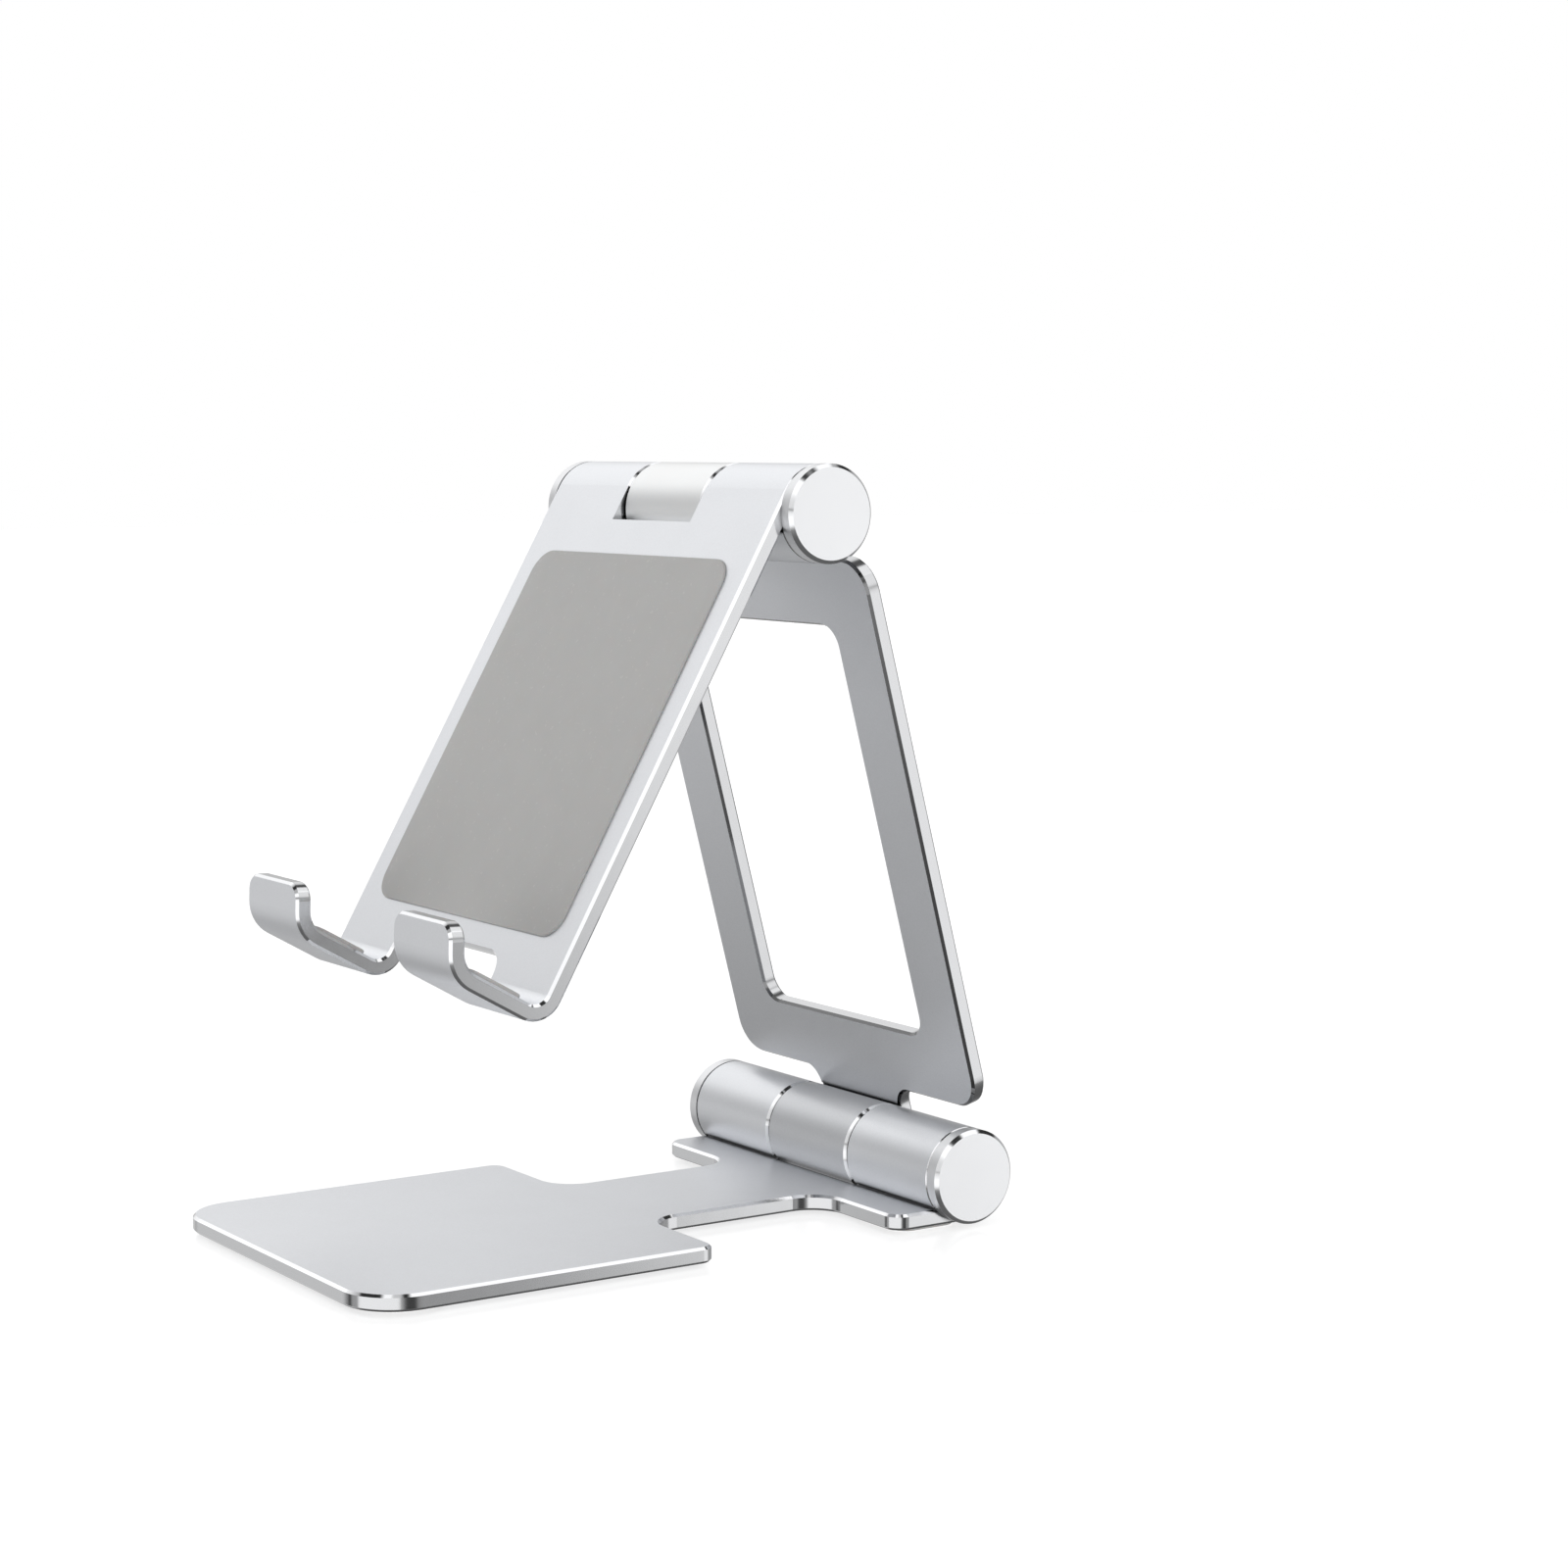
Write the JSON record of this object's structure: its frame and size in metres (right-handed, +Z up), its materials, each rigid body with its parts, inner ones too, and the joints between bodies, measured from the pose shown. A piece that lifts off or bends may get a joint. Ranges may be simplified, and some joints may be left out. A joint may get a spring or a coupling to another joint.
{
  "type": "tablet stand",
  "caption": "Folding metal tablet stand: foot plate, open arm frame and tray with two bent hooks, joined by two barrel friction hinges.",
  "frame": {"origin": "on the table, under the middle of the stand's footprint", "axes": "+X along both hinge barrels, towards the side with the springs and lock nuts; -Y is the front, where the foot plate reaches; +Z up from the table"},
  "size_m": [0.1062, 0.164, 0.1758],
  "materials": {
    "blasted_metal": "bead blasted and clear anodised, satin",
    "cap_metal": "bead blasted and clear anodised, satin",
    "silicone": "light warm grey silicone, matte",
    "hinge_steel": "turned steel",
    "bush_brass": "plain bearing, satin",
    "washer_plastic": "dark sliding washer, matte"
  },
  "bodies": {
    "base": {"base_plate": "blasted_metal", "base_front_pad": "silicone", "base_rear_pad_left": "silicone", "base_rear_pad_right": "silicone", "lower_bolt": "hinge_steel", "lower_washer_left": "washer_plastic", "lower_washer_right": "washer_plastic", "lower_thrust_washer": "hinge_steel", "lower_disc_springs": "hinge_steel", "lower_lock_nut": "hinge_steel", "lower_cap_left": "cap_metal", "lower_cap_right": "cap_metal"},
    "arm": {"arm_frame": "blasted_metal", "lower_bush": "bush_brass", "upper_bush": "bush_brass"},
    "tray": {"tray": "blasted_metal", "tray_pad": "silicone", "hook_pad_left": "silicone", "hook_pad_right": "silicone", "upper_bolt": "hinge_steel", "upper_washer_left": "washer_plastic", "upper_washer_right": "washer_plastic", "upper_thrust_washer": "hinge_steel", "upper_disc_springs": "hinge_steel", "upper_lock_nut": "hinge_steel", "upper_cap_left": "cap_metal", "upper_cap_right": "cap_metal"}
  },
  "joints": [
    {"name": "arm_tilt", "type": "hinge", "parent": "base", "child": "arm", "pos_m": [0, 0.071, 0.012], "axis": [1, 0, 0], "range_deg": [-104, 20]},
    {"name": "tray_tilt", "type": "hinge", "parent": "arm", "child": "tray", "pos_m": [0, 0.03077, 0.16479], "axis": [1, 0, 0], "range_deg": [-60, 47]}
  ]
}
